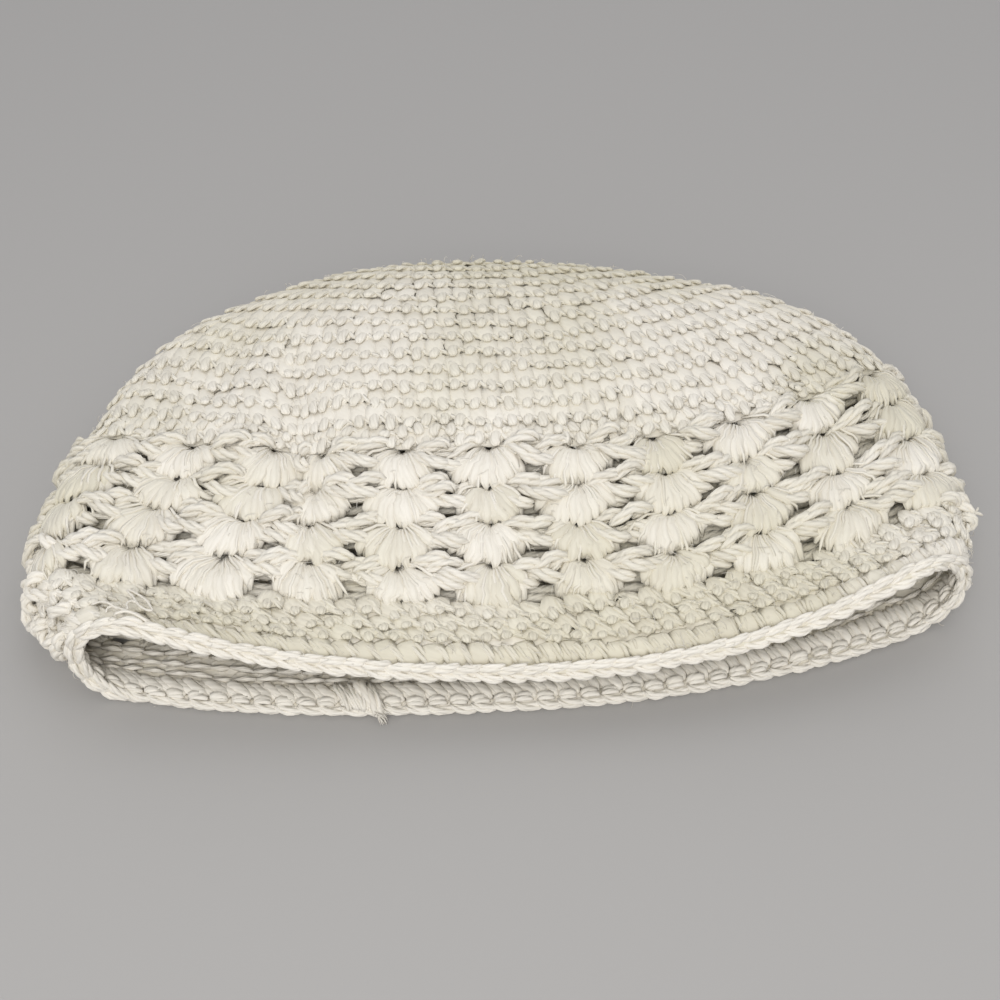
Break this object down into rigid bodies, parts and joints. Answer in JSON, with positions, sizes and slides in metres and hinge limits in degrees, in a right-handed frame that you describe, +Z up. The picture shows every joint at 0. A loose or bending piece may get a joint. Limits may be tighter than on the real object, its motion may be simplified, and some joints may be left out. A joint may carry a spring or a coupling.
{
  "type": "crochet baby beanie",
  "caption": "Hollow round crochet baby beanie lying flat on its back layer, with a close crown, a band of lace shells, a plain brim and a chain edging round an open mouth.",
  "frame": {"origin": "on the table under the middle of the hat's box", "axes": "+X across the hat along its mouth, to the right as seen from the mouth; +Y from the mouth toward the crown; +Z up"},
  "size_m": [0.1657, 0.1012, 0.0307],
  "materials": {
    "ivory_cotton": "matt plied cotton yarn, ivory, worked in tight crochet stitches"
  },
  "bodies": {
    "root": {"crown": "ivory_cotton", "shell_row_1": "ivory_cotton", "shell_row_2": "ivory_cotton", "shell_row_3": "ivory_cotton", "shell_row_4": "ivory_cotton", "brim_band": "ivory_cotton", "edge_braid": "ivory_cotton"}
  },
  "joints": []
}
